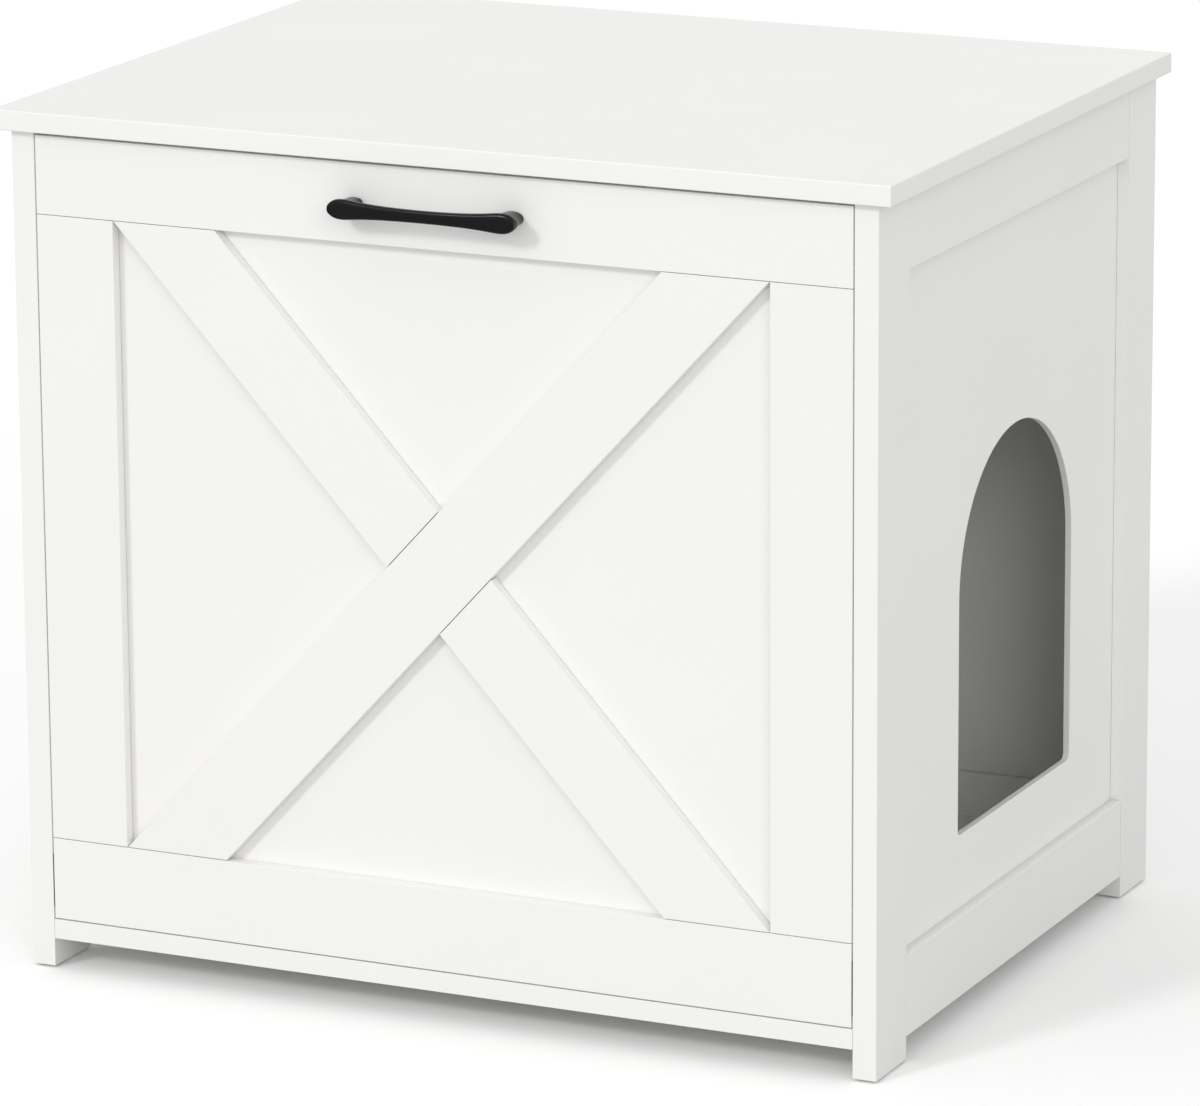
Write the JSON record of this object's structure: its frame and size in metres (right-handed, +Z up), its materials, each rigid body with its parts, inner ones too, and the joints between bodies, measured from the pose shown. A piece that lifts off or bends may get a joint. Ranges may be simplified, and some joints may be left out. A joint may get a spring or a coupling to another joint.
{
  "type": "cat litter box cabinet",
  "caption": "White board cabinet that hides a cat litter box, with a drop-front cross-braced door, a black bow handle and an arched entrance in its right side.",
  "frame": {"origin": "on the floor, under the middle of the overall box, handle included", "axes": "+X to the right seen from the front, +Y to the rear, +Z up"},
  "size_m": [0.7, 0.557, 0.645],
  "materials": {
    "white_board": "white painted fibreboard, satin",
    "black_handle": "black satin coat on cast zinc",
    "zinc_steel": "bright zinc plate",
    "white_nylon": "moulded nylon"
  },
  "bodies": {
    "cabinet": {"top_board": "white_board", "bottom_board": "white_board", "back_panel": "white_board", "front_crossbar": "white_board", "rear_upper_rail": "white_board", "rear_lower_rail": "white_board", "left_front_post": "white_board", "left_rear_post": "white_board", "left_upper_rail": "white_board", "left_lower_rail": "white_board", "left_side_panel": "white_board", "right_front_post": "white_board", "right_rear_post": "white_board", "right_upper_rail": "white_board", "right_lower_rail": "white_board", "right_side_panel": "white_board", "left_front_glide": "white_nylon", "left_rear_glide": "white_nylon", "right_front_glide": "white_nylon", "right_rear_glide": "white_nylon", "front_crossbar_cam_left": "zinc_steel", "rear_rail_cam_left": "zinc_steel", "top_front_cam_left": "zinc_steel", "top_rear_cam_left": "zinc_steel", "bottom_front_cam_left": "zinc_steel", "bottom_rear_cam_left": "zinc_steel", "front_crossbar_cam_right": "zinc_steel", "rear_rail_cam_right": "zinc_steel", "top_front_cam_right": "zinc_steel", "top_rear_cam_right": "zinc_steel", "bottom_front_cam_right": "zinc_steel", "bottom_rear_cam_right": "zinc_steel", "left_hinge_post_leaf": "zinc_steel", "right_hinge_post_leaf": "zinc_steel", "left_post_hinge_screw_1": "zinc_steel", "left_post_hinge_screw_2": "zinc_steel", "right_post_hinge_screw_1": "zinc_steel", "right_post_hinge_screw_2": "zinc_steel", "left_magnet": "white_nylon", "right_magnet": "white_nylon"},
    "door": {"door_panel": "white_board", "door_top_rail": "white_board", "door_bottom_rail": "white_board", "door_left_stile": "white_board", "door_right_stile": "white_board", "door_long_brace": "white_board", "door_upper_half_brace": "white_board", "door_lower_half_brace": "white_board", "handle": "black_handle", "left_hinge_door_leaf": "zinc_steel", "right_hinge_door_leaf": "zinc_steel", "left_door_hinge_screw_1": "zinc_steel", "left_door_hinge_screw_2": "zinc_steel", "right_door_hinge_screw_1": "zinc_steel", "right_door_hinge_screw_2": "zinc_steel", "left_strike_plate": "zinc_steel", "right_strike_plate": "zinc_steel", "handle_screw_left": "zinc_steel", "handle_screw_right": "zinc_steel"}
  },
  "joints": [
    {"name": "door_hinge", "type": "hinge", "parent": "cabinet", "child": "door", "pos_m": [0, -0.249, 0.055], "axis": [1, 0, 0], "range_deg": [0, 90]}
  ]
}
